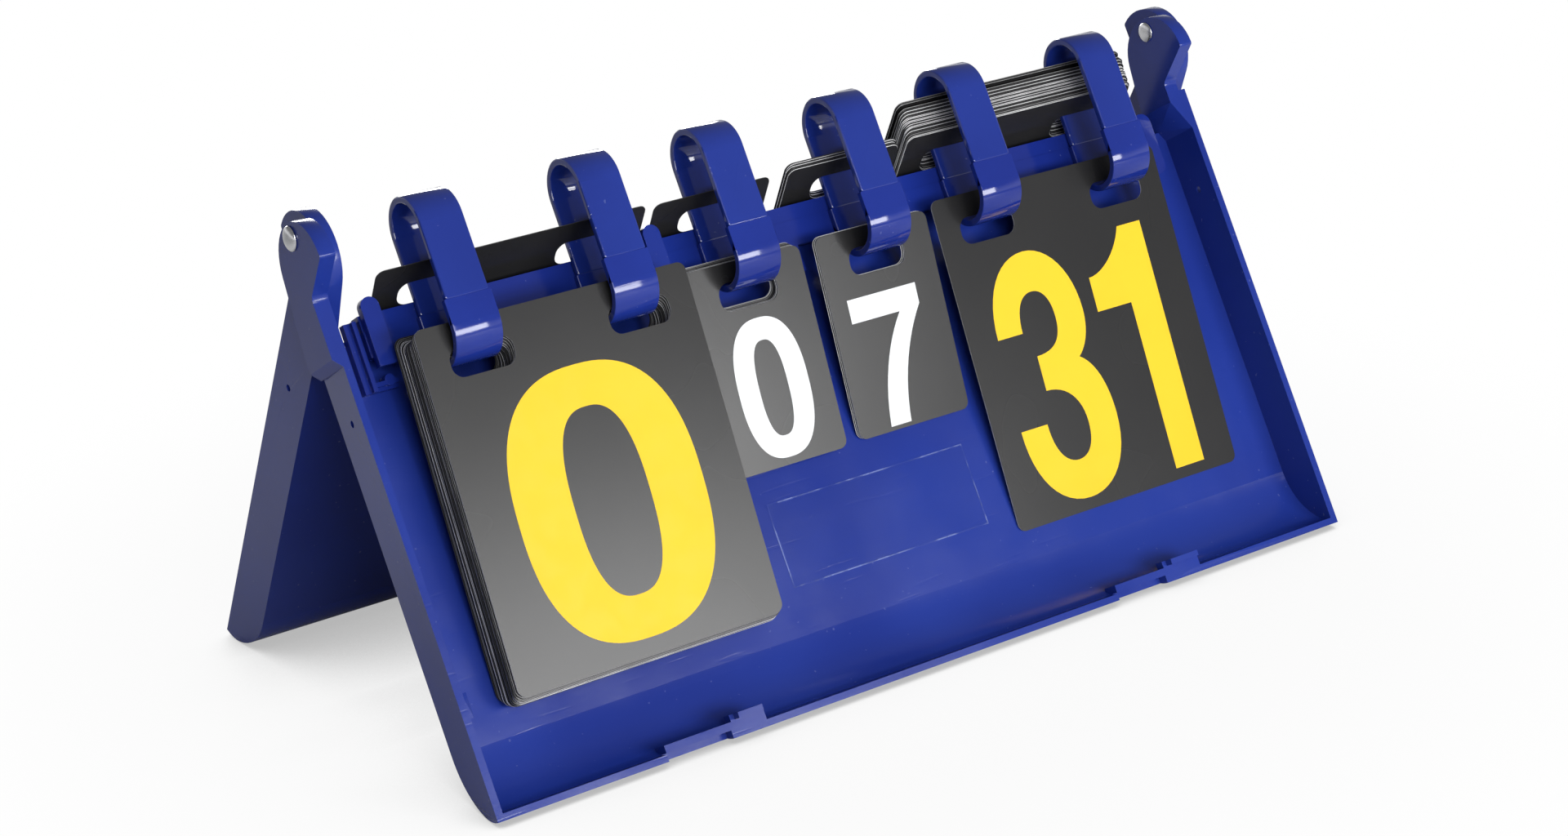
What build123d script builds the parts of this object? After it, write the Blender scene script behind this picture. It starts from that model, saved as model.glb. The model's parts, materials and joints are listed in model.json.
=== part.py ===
from build123d import *
import math
import os

# Tabletop scoreboard. Two like trays stand as an A on their coved bottom edges, joined by a rivet at
# each end, and fold flat with their rims together. Six rings along the ridge carry four decks of cards.
# X runs along the case, Z is up, and the front tray faces -Y. The case stands centred over the origin.
# A tray has its own directions: u runs up its floor from the bottom edge, v out of its open side.
# Millimetres and degrees throughout.

# Cards: how many are behind the front one in a full deck, how many of the right sets deck are turned
# over, and the angles round the rings' curls at which the front cards of full decks hang
card_thickness = 0.38
card_pitch = 0.395
card_gap = 0.4
card_seat = 0.3
card_corner = 3.2
full_deck = 31
sets_deck = 9
sets_turned = 7
left_points_hang = 40.0
left_sets_hang = -20.0
right_sets_hang = -26.0
points_card_width = 110.0
points_card_height = 130.0
points_card_margin = 9.0
sets_card_width = 51.0
sets_card_height = 77.0
sets_card_margin = 7.1
slot_width = 25.2
slot_height = 10.5
slot_corner = 4.4

# Along the case, from the middle out: the two sets decks, the two points decks and the end walls. The left
# points deck has slid this far along its rings.
sets_gap = 8.0
points_gap = 4.0
left_points_slide = 1.2
side_room = 23.5
ring_pitch = 64.0

# Trays
tray_depth = 21.0
lean = 29.42
closing_gap = 0.2
floor_thickness = 2.5
wall_thickness = 2.8
wall_draft = 1.1
cove_height = 26.0
cove_rim_radius = 16.0
cove_to_card = 8.3
floor_gap = 0.2
back_chamfer = 1.3
pin_hole_below_ridge = 27.7
pin_hole_depth = 11.6
pin_hole_radius = 1.3

# Arms and ears at the two ends
arm_thickness = 6.0
arm_offset = 3.2
arm_gap = 0.3
jog_below_ridge = 9.2
ramp_below_ridge = 4.2
ramp_length = 12.0
wall_top_gap = 1.0
ear_radius = 17.0
ear_setback = 11.6
horn_length = 10.0
horn_fillet = 3.0
horn_tip_fillet = 1.2

# Rivets
rivet_radius = 2.2
rivet_play = 0.1
rivet_head_radius = 4.5
rivet_head_flat = 2.6
rivet_head_height = 2.0
rivet_tail_radius = 3.9
rivet_tail_height = 1.2

# Latches on the bottom rim: a notch and a clip, twice. Each clip's place follows from the notch that it
# meets in the other tray, with this much play on the side of the nearer end and on the other side.
left_notch_inset = 68.5
left_notch_width = 27.0
left_notch_play = (3.0, 7.0)
right_notch_inset = 89.0
right_notch_width = 24.0
right_notch_play = (7.5, 2.5)
latch_ledge_depth = 7.0
latch_band_start = 3.0
latch_band_end = 5.8
notch_drop = 4.5
lip_inset = 1.8
lip_start = 6.2
lip_end = 8.3
lip_rise = 3.5
lip_root = 4.0

# Small rib inside the left wall
wall_rib_reach = 36.0
wall_rib_length = 9.0
wall_rib_proud = 1.8
wall_rib_height = 6.0
wall_rib_drop = 1.0

# Rings and the rail that carries them
ring_radius = 12.5
ring_strap = 2.6
ring_slack = 1.8
curl_below_ridge = 6.7
parting_above_curl = 9.0
arch_width = 17.0
hook_width = 18.5
rail_left_inset = 16.5
rail_right_inset = 14.5
rail_below_ridge = 7.2
rail_above_ridge = 8.0
rail_height = 6.5
rail_step = 0.4
stem_width = 6.0
stem_length = 10.1
tongue_width = 7.0
tongue_rise = 5.3
tongue_thickness = 3.5
end_tongue_inset = 20.5
end_tongue_overhang = 4.0
end_tab_inset = 12.5
end_tab_width = 9.0
end_tab_overhang = 10.0
end_tab_radius = 4.0
end_tab_proud = 0.4

# Catch beside the rail's left end
catch_inset = 11.5
catch_width = 4.0
catch_top_drop = 1.2
catch_overhang = 11.5
catch_foot = 3.0
catch_foot_length = 13.0
catch_height = 5.5
catch_base_height = 3.4
catch_rib = 1.6
catch_bump_radius = 2.0
catch_bump_inset = 3.5

# Clear label on the front tray's floor
label_width = 90.0
label_height = 32.0
label_thickness = 0.15
label_place = 2.0
label_reach = 59.5

# How far a cut goes past the faces that it opens
over = 5.0

# Places along the case
sets_place = sets_gap / 2 + sets_card_width / 2
points_place = sets_place + sets_card_width / 2 + points_gap + points_card_width / 2
stem_place = sets_place + sets_card_width / 2 + points_gap / 2
half_length = points_place + points_card_width / 2 + side_room
ring_places = [-points_place - ring_pitch / 2, -points_place + ring_pitch / 2, -sets_place,
               sets_place, points_place - ring_pitch / 2, points_place + ring_pitch / 2]

left_notch_start = left_notch_inset - half_length
right_notch_end = half_length - right_notch_inset
notch_spans = [(left_notch_start, left_notch_start + left_notch_width),
               (right_notch_end - right_notch_width, right_notch_end)]
clip_spans = [(right_notch_play[0] - right_notch_end, -notch_spans[1][0] - right_notch_play[1]),
              (left_notch_play[1] - notch_spans[0][1], -left_notch_start - left_notch_play[0])]

# Slopes, and the ridge where the two floors meet over the middle. The floor is long enough for the longest
# card to hang clear of the cove.
pivot_depth = tray_depth + closing_gap / 2
fold_angle = 2 * lean
lean_sine = math.sin(math.radians(lean))
lean_cosine = math.cos(math.radians(lean))
fold_sine = math.sin(math.radians(fold_angle))
fold_cosine = math.cos(math.radians(fold_angle))
fold_tangent = fold_sine / fold_cosine
points_drop = points_card_height - points_card_margin
sets_drop = sets_card_height - sets_card_margin
hang_radius = ring_radius - ring_strap - card_seat - card_thickness
ridge = cove_height + cove_to_card + points_drop + hang_radius + curl_below_ridge
pivot_reach = ridge + pivot_depth * lean_cosine / lean_sine
floor_end = ridge - floor_gap
flat_end = floor_end - back_chamfer

# The cove is two arcs, a tight one at the rim and a wide one that runs out into the floor
wide_rise = (cove_height - cove_rim_radius) ** 2 + tray_depth ** 2 - cove_rim_radius ** 2
cove_wide_radius = wide_rise / (2 * (tray_depth - cove_rim_radius))
cove_turn = math.atan2(cove_wide_radius - tray_depth, cove_height - cove_rim_radius)
lowest_reach = cove_rim_radius * lean_cosine + tray_depth * lean_sine - cove_rim_radius
pivot_height = pivot_reach * lean_cosine + pivot_depth * lean_sine - lowest_reach

# Heights along the floor of what sits at the ridge
pin_hole_reach = ridge - pin_hole_below_ridge
jog_reach = ridge - jog_below_ridge
ramp_start = ridge - ramp_below_ridge
ramp_end = ramp_start + ramp_length
ear_reach = pivot_reach - ear_setback
curl_reach = ridge - curl_below_ridge
parting_reach = curl_reach + parting_above_curl
rail_bottom = ridge - rail_below_ridge
rail_top = ridge + rail_above_ridge
rail_front = floor_thickness + rail_height
ring_depth = rail_front + ring_radius
leg_inside = rail_front + ring_strap
rail_left = rail_left_inset - half_length
rail_right = half_length - rail_right_inset

# The back corner of the rail, seen from the rear tray, is what cards turned over lie on. The rings are
# long enough for a full deck turned over, with the straight of their rear legs through its slots.
corner_reach = rail_top - pivot_reach
corner_depth = floor_thickness - pivot_depth
corner_up = pivot_reach + corner_reach * fold_cosine + corner_depth * fold_sine
corner_out = pivot_depth + corner_reach * fold_sine - corner_depth * fold_cosine
turned_rise = corner_out + card_seat
deck_thickness = full_deck * card_pitch
turned_top = turned_rise + deck_thickness + ring_slack
crown_reach = pivot_reach + (turned_top - pivot_depth + (leg_inside - pivot_depth) * fold_cosine) / fold_sine
front = 1
rear = -1


def tray_point(u, v, tray=front):
    """The point at u and v in the middle of a tray."""
    along = u - pivot_reach
    out = v - pivot_depth
    y = tray * (along * lean_sine - out * lean_cosine)
    return Vector(0, y, pivot_height + along * lean_cosine + out * lean_sine)


def tray_direction(along, out, tray=front):
    """The direction that goes along u and out along v by these amounts."""
    return Vector(0, tray * (along * lean_sine - out * lean_cosine), along * lean_cosine + out * lean_sine)


def end_plane(x):
    """A plane across the front tray at x, with u as its x and v as its y, facing +X."""
    corner = tray_point(0, 0)
    return Plane(origin=(x, corner.Y, corner.Z), x_dir=tray_direction(1, 0), z_dir=(1, 0, 0))


def floor_plane(v):
    """A plane over the front tray's floor at depth v, with X as its x and u as its y, facing out."""
    return Plane(origin=tray_point(0, v), x_dir=(1, 0, 0), z_dir=tray_direction(0, 1))


def height_plane(u):
    """A plane across the front tray at u, with X as its x and facing up the floor."""
    return Plane(origin=tray_point(u, 0), x_dir=(1, 0, 0), z_dir=tray_direction(1, 0))


def card_plane(u, v, tilt, tray=front):
    """A card's plane through u and v, its y up the card, tipped out at the top by tilt degrees."""
    turn = math.radians(tilt)
    facing = tray_direction(-math.sin(turn), math.cos(turn), tray)
    return Plane(origin=tray_point(u, v, tray), x_dir=(tray, 0, 0), z_dir=facing)


# Outlines that are used more than once, seen from the end of the case, with u across and v up


def cove_point(inset, step):
    """A point on the cove, this far inside it: step 0 is the rim, 1 where the arcs meet, 2 the floor."""
    if step > 1:
        turn = cove_turn + (step - 1) * (math.pi / 2 - cove_turn)
        centre = (cove_height, cove_wide_radius)
        radius = cove_wide_radius - inset
    else:
        turn = step * cove_turn
        centre = (cove_rim_radius, tray_depth)
        radius = cove_rim_radius - inset
    return (centre[0] - radius * math.cos(turn), centre[1] - radius * math.sin(turn))


# The tray's section: flat floor, cove and open rim, chamfered at the back where the other tray meets it
with BuildSketch() as tray_outline:
    with BuildLine():
        Line((flat_end, 0), (cove_height, 0))
        ThreePointArc((cove_height, 0), cove_point(0, 1.5), cove_point(0, 1))
        ThreePointArc(cove_point(0, 1), cove_point(0, 0.5), (0, tray_depth))
        Polyline((0, tray_depth), (floor_end, tray_depth), (floor_end, back_chamfer), (flat_end, 0))
    make_face()

# The hollow over the floor, one floor thickness inside the cove, open at the rim and at the ridge
with BuildSketch() as hollow_outline:
    with BuildLine():
        Polyline((cove_height, floor_thickness), (floor_end + over, floor_thickness),
                 (floor_end + over, tray_depth + over), (floor_thickness, tray_depth + over),
                 (floor_thickness, tray_depth))
        ThreePointArc((floor_thickness, tray_depth), cove_point(floor_thickness, 0.5),
                      cove_point(floor_thickness, 1))
        ThreePointArc(cove_point(floor_thickness, 1), cove_point(floor_thickness, 1.5),
                      (cove_height, floor_thickness))
    make_face()

# An arm with its ear: straight up the floor's back to the chamfer, tangent onto the round ear, over it to the
# tip of the horn, and back down the horn's straight edge to the rim
spring_u = ear_reach - flat_end
spring_reach = math.hypot(spring_u, pivot_depth)
tangent_length = math.sqrt(spring_reach ** 2 - ear_radius ** 2)
tangent_turn = math.atan2(pivot_depth, spring_u) - math.asin(ear_radius / spring_reach)
ear_tangent = (flat_end + tangent_length * math.cos(tangent_turn), tangent_length * math.sin(tangent_turn))
horn_tip = (ear_reach, pivot_depth + ear_radius)
horn_root = (ear_reach - horn_length, tray_depth)
arm_root = jog_reach - ear_radius
with BuildSketch() as arm_outline:
    with BuildLine():
        Polyline((arm_root, 0), (flat_end, 0), ear_tangent)
        ThreePointArc(ear_tangent, (ear_reach + ear_radius, pivot_depth), horn_tip)
        Polyline(horn_tip, horn_root, (arm_root, tray_depth), (arm_root, 0))
    make_face()
    fillet(arm_outline.vertices().sort_by_distance(horn_root)[0], radius=horn_fillet)
    fillet(arm_outline.vertices().sort_by_distance(horn_tip)[0], radius=horn_tip_fillet)
    with Locations((pivot_reach, pivot_depth)):
        Circle(rivet_radius + rivet_play, mode=Mode.SUBTRACT)

# A whole ring, then its lower hook and its upper arch, which meet at the parting line
ring_middle = (curl_reach + crown_reach) / 2
with BuildSketch() as ring_outline:
    with Locations((ring_middle, ring_depth)):
        SlotCenterToCenter(crown_reach - curl_reach, 2 * ring_radius)
        SlotCenterToCenter(crown_reach - curl_reach, 2 * (ring_radius - ring_strap), mode=Mode.SUBTRACT)
ring_end = 2 * (ring_radius + over)
with BuildSketch() as hook_outline:
    add(ring_outline.sketch)
    with Locations((parting_reach, ring_depth)):
        Rectangle(crown_reach, ring_end, align=(Align.MIN, Align.CENTER), mode=Mode.SUBTRACT)
with BuildSketch() as arch_outline:
    add(ring_outline.sketch)
    with Locations((parting_reach, ring_depth)):
        Rectangle(crown_reach, ring_end, align=(Align.MAX, Align.CENTER), mode=Mode.SUBTRACT)


def draft_corner(outer, side):
    """The sliver that draft takes off a side wall: full at the floor and nothing at the rim."""
    with BuildSketch() as sliver:
        with BuildLine():
            Polyline((outer + side * over, 0), (outer - side * wall_draft, 0), (outer, tray_depth),
                     (outer + side * over, tray_depth), close=True)
        make_face()
        mirror(about=Plane.XZ, mode=Mode.REPLACE)
    return sliver.sketch


# Tray shell: floor, cove and side walls, an outer arm at its left end and an inner arm at its right
left_face = -half_length
right_face = half_length
arm_outer = left_face - arm_offset
inner_arm_left = right_face - wall_thickness - arm_gap - arm_thickness
inner_arm_right = right_face - wall_thickness - arm_gap
with BuildPart() as front_shell:
    with BuildSketch(end_plane(left_face)):
        add(tray_outline.sketch)
    extrude(amount=2 * half_length)
    with BuildSketch(end_plane(left_face + wall_thickness)):
        add(hollow_outline.sketch)
    extrude(amount=2 * half_length - 2 * wall_thickness, mode=Mode.SUBTRACT)

    # Thickened rim behind each notch and clip
    latch_pairs = list(zip(notch_spans, clip_spans))
    for notch, clip in latch_pairs:
        ledge_left = min(notch[0], clip[0])
        ledge_right = max(notch[1], clip[1])
        with BuildSketch(floor_plane(tray_depth)):
            with Locations(((ledge_left + ledge_right) / 2, floor_thickness / 2)):
                Rectangle(ledge_right - ledge_left, latch_band_end - floor_thickness / 2,
                          align=(Align.CENTER, Align.MIN))
        extrude(amount=-latch_ledge_depth)
    for left, right in notch_spans:
        with BuildSketch(floor_plane(tray_depth - notch_drop)):
            with Locations(((left + right) / 2, latch_band_start)):
                Rectangle(right - left, latch_band_start + over, align=(Align.CENTER, Align.MAX))
        extrude(amount=notch_drop + over, mode=Mode.SUBTRACT)
    for left, right in clip_spans:
        with BuildSketch(floor_plane(tray_depth - lip_root)):
            with Locations(((left + right) / 2, latch_band_start)):
                Rectangle(right - left, lip_end - latch_band_start, align=(Align.CENTER, Align.MIN))
        extrude(amount=lip_root)
        with BuildSketch(floor_plane(tray_depth)):
            with Locations(((left + right) / 2, (lip_start + lip_end) / 2)):
                Rectangle(right - left - 2 * lip_inset, lip_end - lip_start)
        extrude(amount=lip_rise)

    # Arms: both from the one outline, the left in line with the wall and the right inside it
    with BuildSketch(end_plane(arm_outer)):
        add(arm_outline.sketch)
    extrude(amount=arm_thickness)
    with BuildSketch(end_plane(inner_arm_left)):
        add(arm_outline.sketch)
    extrude(amount=right_face - inner_arm_left)

    # Left arm steps out from the wall at a 45 degree facet
    with BuildSketch(floor_plane(-over)):
        with BuildLine():
            Polyline((left_face, arm_root - over), (left_face, jog_reach),
                     (arm_outer, jog_reach + arm_offset), (arm_outer - over, jog_reach + arm_offset),
                     (arm_outer - over, arm_root - over), close=True)
        make_face()
    extrude(amount=tray_depth + 2 * over, mode=Mode.SUBTRACT)

    # Right arm grows out of the wall along a ramp, over the floor and past its end
    ramp_width = right_face - wall_thickness - inner_arm_left
    ramp_at_floor_end = ramp_width * (floor_end - ramp_start) / (ramp_end - ramp_start)
    with BuildSketch(floor_plane(floor_thickness)):
        with BuildLine():
            Polyline((right_face - wall_thickness, arm_root - over),
                     (right_face - wall_thickness, ramp_start),
                     (inner_arm_left, ramp_end), (inner_arm_left - over, ramp_end),
                     (inner_arm_left - over, arm_root - over), close=True)
        make_face()
    extrude(amount=tray_depth + over, mode=Mode.SUBTRACT)
    with BuildSketch(floor_plane(-over)):
        with BuildLine():
            Polyline((right_face - wall_thickness - ramp_at_floor_end, floor_end), (inner_arm_left, ramp_end),
                     (inner_arm_left - over, ramp_end), (inner_arm_left - over, floor_end), close=True)
        make_face()
    extrude(amount=tray_depth + 2 * over, mode=Mode.SUBTRACT)

    # Right wall ends under the other tray's arm, along the slant of that arm's back
    slant_high = 2 * tray_depth
    with BuildSketch(end_plane(inner_arm_right)):
        with BuildLine():
            Polyline((ridge - wall_top_gap - over / fold_tangent, -over),
                     (ridge - wall_top_gap + slant_high / fold_tangent, slant_high),
                     (pivot_reach + ear_radius, slant_high), (pivot_reach + ear_radius, -over), close=True)
        make_face()
    extrude(amount=wall_thickness + arm_gap + over, mode=Mode.SUBTRACT)

    # Draft on the outside of the side walls, of the left one up to where its arm steps out
    with BuildSketch(height_plane(-over)):
        add(draft_corner(left_face, -1))
    extrude(amount=over + jog_reach, mode=Mode.SUBTRACT)
    with BuildSketch(height_plane(-over)):
        add(draft_corner(right_face, 1))
    extrude(amount=over + pivot_reach, mode=Mode.SUBTRACT)

    # Pin holes across both walls, and a small rib inside the left wall
    with BuildSketch(end_plane(left_face - over)):
        with Locations((pin_hole_reach, pin_hole_depth)):
            Circle(pin_hole_radius)
    extrude(amount=2 * half_length + 2 * over, mode=Mode.SUBTRACT)
    with BuildSketch(end_plane(left_face + wall_thickness)):
        with Locations((wall_rib_reach, tray_depth - wall_rib_drop)):
            Rectangle(wall_rib_length, wall_rib_height, align=(Align.MIN, Align.MAX))
    extrude(amount=wall_rib_proud)
front_shell.part.label = "front_shell"

# Rear shell: the same moulding, turned end for end
with BuildPart() as rear_shell:
    add(front_shell.part.rotate(Axis.Z, 180))
rear_shell.part.label = "rear_shell"


def rivet_section(outer_x, inner_x):
    """Half a rivet's section from its sloped head outside to its flat tail inside."""
    way = math.copysign(1, outer_x)
    head_top = outer_x + way * rivet_head_height
    tail_end = inner_x - way * rivet_tail_height
    with BuildSketch() as section:
        with BuildLine():
            Polyline((head_top, 0), (head_top, rivet_head_flat), (outer_x, rivet_head_radius),
                     (outer_x, rivet_radius), (inner_x, rivet_radius), (inner_x, rivet_tail_radius),
                     (tail_end, rivet_tail_radius), (tail_end, 0), close=True)
        make_face()
    return section.sketch


# Rivets: the left one's head lies on the front shell's arm, the right one's on the rear shell's
head_x = half_length + arm_offset + rivet_play
tail_x = inner_arm_left - rivet_play
axle_plane = Plane(origin=(0, 0, pivot_height), x_dir=(1, 0, 0), z_dir=(0, -1, 0))
axle = Axis((0, 0, pivot_height), (1, 0, 0))
with BuildPart() as left_rivet:
    with BuildSketch(axle_plane):
        add(rivet_section(-head_x, -tail_x))
    revolve(axis=axle)
left_rivet.part.label = "left_rivet"
with BuildPart() as right_rivet:
    with BuildSketch(axle_plane):
        add(rivet_section(head_x, tail_x))
    revolve(axis=axle)
right_rivet.part.label = "right_rivet"

# Ring rail: a stepped bar on the top of the front floor with card guides and an end tab
with BuildPart() as ring_rail:
    with BuildSketch(end_plane(rail_left)):
        with BuildLine():
            Polyline((rail_bottom, floor_thickness), (rail_top, floor_thickness),
                     (rail_top, rail_front - rail_step), (parting_reach, rail_front - rail_step),
                     (parting_reach, rail_front), (rail_bottom, rail_front), close=True)
        make_face()
    extrude(amount=rail_right - rail_left)

    # Guides between the decks, which hang below the bar
    with BuildSketch(floor_plane(floor_thickness)):
        for place in (-stem_place, 0, stem_place):
            with Locations((place, rail_bottom)):
                Rectangle(stem_width, stem_length, align=(Align.CENTER, Align.MAX))
    extrude(amount=rail_height)

    # Tongues with a round top on the bar's face, at the left end and beside the second ring
    tongue_top = rail_top + tongue_rise
    end_tongue_place = end_tongue_inset - half_length
    for place, bottom in [(end_tongue_place, rail_bottom - end_tongue_overhang), (-stem_place, rail_bottom)]:
        with BuildSketch(floor_plane(rail_front)):
            with Locations((place, tongue_top - tongue_width / 2)):
                Circle(tongue_width / 2)
                Rectangle(tongue_width, tongue_top - tongue_width / 2 - bottom,
                          align=(Align.CENTER, Align.MAX))
        extrude(amount=tongue_thickness)

    # Rounded tab at the right end
    end_tab_place = half_length - end_tab_inset - end_tab_width / 2
    end_tab_length = rail_top - rail_bottom + end_tab_overhang
    with BuildSketch(floor_plane(floor_thickness)):
        with Locations((end_tab_place, rail_top - end_tab_length / 2)):
            RectangleRounded(end_tab_width, end_tab_length, end_tab_radius)
    extrude(amount=rail_height + end_tab_proud)
ring_rail.part.label = "ring_rail"

# Catch against the rail's left end: a strip down the floor with a foot, a rib along both and a round bump
catch_left = catch_inset - half_length
catch_foot_end = catch_left + catch_foot_length
catch_top = rail_top - catch_top_drop
catch_bottom = rail_bottom - catch_overhang
catch_right = catch_left + catch_width
catch_foot_top = catch_bottom + catch_foot
with BuildPart() as catch:
    with BuildSketch(floor_plane(floor_thickness)):
        with Locations((catch_left, catch_bottom)):
            Rectangle(catch_width, catch_top - catch_bottom, align=(Align.MIN, Align.MIN))
            Rectangle(catch_foot_length, catch_foot, align=(Align.MIN, Align.MIN))
        with Locations((catch_left, rail_bottom)):
            Rectangle(rail_left - catch_left, parting_reach - rail_bottom, align=(Align.MIN, Align.MIN))
    extrude(amount=catch_base_height)
    with BuildSketch(floor_plane(floor_thickness)):
        with Locations((catch_right, catch_bottom)):
            Rectangle(catch_rib, catch_top - catch_bottom, align=(Align.MAX, Align.MIN))
        with Locations((catch_right, catch_foot_top)):
            Rectangle(catch_foot_length - catch_width, catch_rib, align=(Align.MIN, Align.MAX))
        with Locations((catch_foot_end - catch_bump_inset, catch_foot_top)):
            Circle(catch_bump_radius)
    extrude(amount=catch_height)
catch.part.label = "catch"

# Ring hooks: each lies with its rear leg on the rail's face and curls round below it
ring_hooks = []
for number, place in enumerate(ring_places, start=1):
    with BuildPart() as ring_hook:
        with BuildSketch(end_plane(place - hook_width / 2)):
            add(hook_outline.sketch)
        extrude(amount=hook_width)
    ring_hook.part.label = f"ring_hook_{number}"
    ring_hooks.append(ring_hook)

# Ring arches: each stands on its hook and goes over the ridge to the rail
ring_arches = []
for number, place in enumerate(ring_places, start=1):
    with BuildPart() as ring_arch:
        with BuildSketch(end_plane(place - arch_width / 2)):
            add(arch_outline.sketch)
        extrude(amount=arch_width)
    ring_arch.part.label = f"ring_arch_{number}"
    ring_arches.append(ring_arch)

# Clear label
with BuildPart() as clear_label:
    with BuildSketch(floor_plane(floor_thickness)):
        with Locations((label_place, label_reach)):
            Rectangle(label_width, label_height)
    extrude(amount=label_thickness)
clear_label.part.label = "clear_label"


def card_outline(width, height, margin, slots):
    """A card with its slots' top edges on the sketch's x axis."""
    with BuildSketch() as outline:
        with Locations((0, margin - height / 2)):
            RectangleRounded(width, height, card_corner)
        with Locations([(slot, -slot_height / 2) for slot in slots]):
            RectangleRounded(slot_width, slot_height, slot_corner, mode=Mode.SUBTRACT)
    return outline.sketch


points_outline = card_outline(points_card_width, points_card_height, points_card_margin,
                              [-ring_pitch / 2, ring_pitch / 2])
sets_outline = card_outline(sets_card_width, sets_card_height, sets_card_margin, [0])

# Cards in front hang in the hooks' curls. Each deck: name, place, outline, length below the slot's top,
# the angle round the curl at which its front card hangs, and how many cards are behind it.
left_place = left_points_slide - points_place
front_decks = [
    ("left_points", left_place, points_outline, points_drop, left_points_hang, full_deck),
    ("left_sets", -sets_place, sets_outline, sets_drop, left_sets_hang, sets_deck),
    ("right_sets", sets_place, sets_outline, sets_drop, right_sets_hang, sets_deck - sets_turned),
    ("right_points", points_place, points_outline, points_drop, -lean, 0),
]
cards = []
for name, place, outline, drop, hang, cards_behind in front_decks:
    behind = cards_behind * card_pitch
    hang_turn = math.radians(hang)
    slot_u = curl_reach - hang_radius * math.cos(hang_turn)
    slot_v = ring_depth + hang_radius * math.sin(hang_turn)
    rest_depth = floor_thickness + card_seat + behind
    if cards_behind:
        rest_depth += card_gap
    tilt = math.degrees(math.asin((slot_v - rest_depth) / drop))
    with BuildPart() as front_card:
        with BuildSketch(card_plane(slot_u, slot_v, tilt)):
            with Locations((place, 0)):
                add(outline)
        extrude(amount=card_thickness)
    front_card.part.label = f"{name}_front_card"
    cards.append(front_card)
    if not cards_behind:
        continue

    # The deck behind sits as high in the curl as its outermost card needs
    tilt_turn = math.radians(tilt)
    curl_up = (curl_reach - slot_u) * math.cos(tilt_turn) + (ring_depth - slot_v) * math.sin(tilt_turn)
    curl_out = (ring_depth - slot_v) * math.cos(tilt_turn) - (curl_reach - slot_u) * math.sin(tilt_turn)
    deck_reach = max(abs(-card_gap - curl_out), abs(-card_gap - behind - curl_out))
    deck_lift = curl_up - math.sqrt(hang_radius ** 2 - deck_reach ** 2)
    with BuildPart() as stack:
        with BuildSketch(card_plane(slot_u, slot_v, tilt).offset(-card_gap - behind)):
            with Locations((place, deck_lift)):
                add(outline)
        extrude(amount=behind)
    stack.part.label = f"{name}_stack"
    cards.append(stack)

# Cards turned over lie in the rear tray: on its floor at the bottom and on the rail's back corner at the
# top, with the ring's rear leg through the slot. Each higher card sits further up, along that leg.
leg_point = tray_point(crown_reach, leg_inside)
leg_up = tray_direction(1, 0, rear).dot(leg_point - tray_point(0, 0, rear))
leg_out = tray_direction(0, 1, rear).dot(leg_point - tray_point(0, 0, rear))
flipped_decks = [
    ("left_points", -points_place, points_outline, points_drop, card_thickness),
    ("left_sets", -sets_place, sets_outline, sets_drop, card_thickness),
    ("right_sets", sets_place, sets_outline, sets_drop, sets_turned * card_pitch),
    ("right_points", points_place, points_outline, points_drop, deck_thickness),
]
for name, place, outline, drop, thickness in flipped_decks:
    # The back face passes just over the rail's corner, and the leg's inner face meets it at the slot
    flat_slot_u = leg_up - (leg_out - turned_rise) / fold_tangent + card_seat
    slope = (turned_rise - floor_thickness - card_seat) / (drop - flat_slot_u + corner_up)
    leg_drop = leg_out - turned_rise + corner_up * slope
    slot_u = (leg_up + card_seat - leg_drop / fold_tangent) / (1 - slope / fold_tangent)
    slot_v = turned_rise + (slot_u - corner_up) * slope
    tilt = math.degrees(math.atan(slope))
    with BuildPart() as flipped:
        with BuildSketch(card_plane(slot_u, slot_v, tilt, rear)):
            with Locations((-place, 0)):
                add(outline)
        extrude(amount=thickness / math.sin(math.radians(fold_angle - tilt)), dir=tray_direction(1, 0))
    flipped.part.label = f"{name}_turned"
    cards.append(flipped)

os.makedirs("parts", exist_ok=True)
pieces = [front_shell, rear_shell, left_rivet, right_rivet, ring_rail, catch, *ring_hooks, *ring_arches,
          clear_label, *cards]
for piece in pieces:
    export_step(piece.part, f"parts/{piece.part.label}.step")
    print(f"{piece.part.label}: {piece.part.volume:.1f} cubic millimetres")
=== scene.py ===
# %% [markdown]
# # A tabletop scoreboard, dressed for a studio picture
#
# The scoreboard's solid parts are ready: two blue trays, a rail with six rings, rivets and card blanks.
# This lesson gives them the finish of the real thing, lays out the decks card by card and prints the
# numbers. The first cell loads the solid parts. Each arrives as an object whose vertices are already in
# place, in metres, so nothing has to be moved.

# %% Load the solid parts
import bpy
import json
import math
import random
from mathutils import Matrix, Vector


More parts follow.
